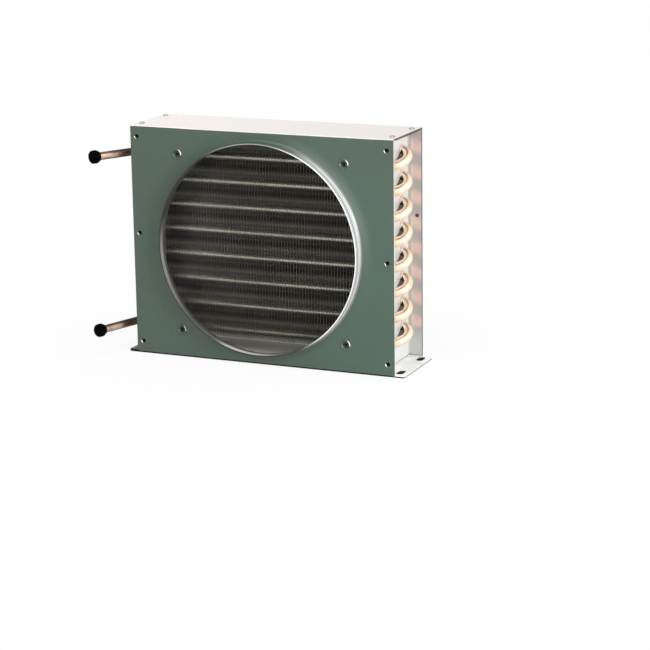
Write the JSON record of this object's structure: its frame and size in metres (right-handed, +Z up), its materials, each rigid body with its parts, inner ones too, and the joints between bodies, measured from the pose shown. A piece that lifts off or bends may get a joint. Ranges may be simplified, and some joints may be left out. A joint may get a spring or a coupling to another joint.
{
  "type": "finned condenser coil",
  "caption": "Air-cooled finned tube condenser coil in a sheet-metal case with a collared round fan opening and two capped copper pipes.",
  "frame": {"origin": "centre of the base plate's underside", "axes": "+Z up, -Y towards the fan side, +X to the right as the fan side is seen, the connection pipes on the -X side"},
  "size_m": [0.3345, 0.1052, 0.2369],
  "materials": {
    "shroud_paint": "grey-green satin paint on sheet steel",
    "galvanised_sheet": "bright galvanised sheet steel",
    "fin_aluminium": "thin mill-finish aluminium fin stock",
    "tube_copper": "bright drawn copper tube, a little tarnished",
    "cap_rubber": "black moulded rubber",
    "zinc_steel": "zinc-plated small fasteners"
  },
  "bodies": {
    "root": {"fan_shroud": "shroud_paint", "end_plate_left": "galvanised_sheet", "end_plate_right": "galvanised_sheet", "top_plate": "galvanised_sheet", "base_plate": "galvanised_sheet", "fin_plate_01": "fin_aluminium", "fin_plate_02": "fin_aluminium", "fin_plate_03": "fin_aluminium", "fin_plate_04": "fin_aluminium", "fin_plate_05": "fin_aluminium", "fin_plate_06": "fin_aluminium", "fin_plate_07": "fin_aluminium", "fin_plate_08": "fin_aluminium", "fin_plate_09": "fin_aluminium", "fin_plate_10": "fin_aluminium", "fin_plate_11": "fin_aluminium", "fin_plate_12": "fin_aluminium", "fin_plate_13": "fin_aluminium", "fin_plate_14": "fin_aluminium", "fin_plate_15": "fin_aluminium", "fin_plate_16": "fin_aluminium", "fin_plate_17": "fin_aluminium", "fin_plate_18": "fin_aluminium", "fin_plate_19": "fin_aluminium", "fin_plate_20": "fin_aluminium", "hairpin_1": "tube_copper", "hairpin_2": "tube_copper", "hairpin_3": "tube_copper", "hairpin_4": "tube_copper", "hairpin_5": "tube_copper", "hairpin_6": "tube_copper", "hairpin_7": "tube_copper", "hairpin_8": "tube_copper", "return_bend_1": "tube_copper", "return_bend_2": "tube_copper", "return_bend_3": "tube_copper", "return_bend_4": "tube_copper", "return_bend_5": "tube_copper", "return_bend_6": "tube_copper", "return_bend_7": "tube_copper", "inlet_pipe": "tube_copper", "outlet_pipe": "tube_copper", "inlet_cap": "cap_rubber", "outlet_cap": "cap_rubber", "top_screw_1": "zinc_steel", "top_screw_2": "zinc_steel", "top_screw_3": "zinc_steel", "top_screw_4": "zinc_steel", "fan_fixing_nut_1": "zinc_steel", "fan_fixing_nut_2": "zinc_steel", "fan_fixing_nut_3": "zinc_steel", "fan_fixing_nut_4": "zinc_steel"}
  },
  "joints": []
}
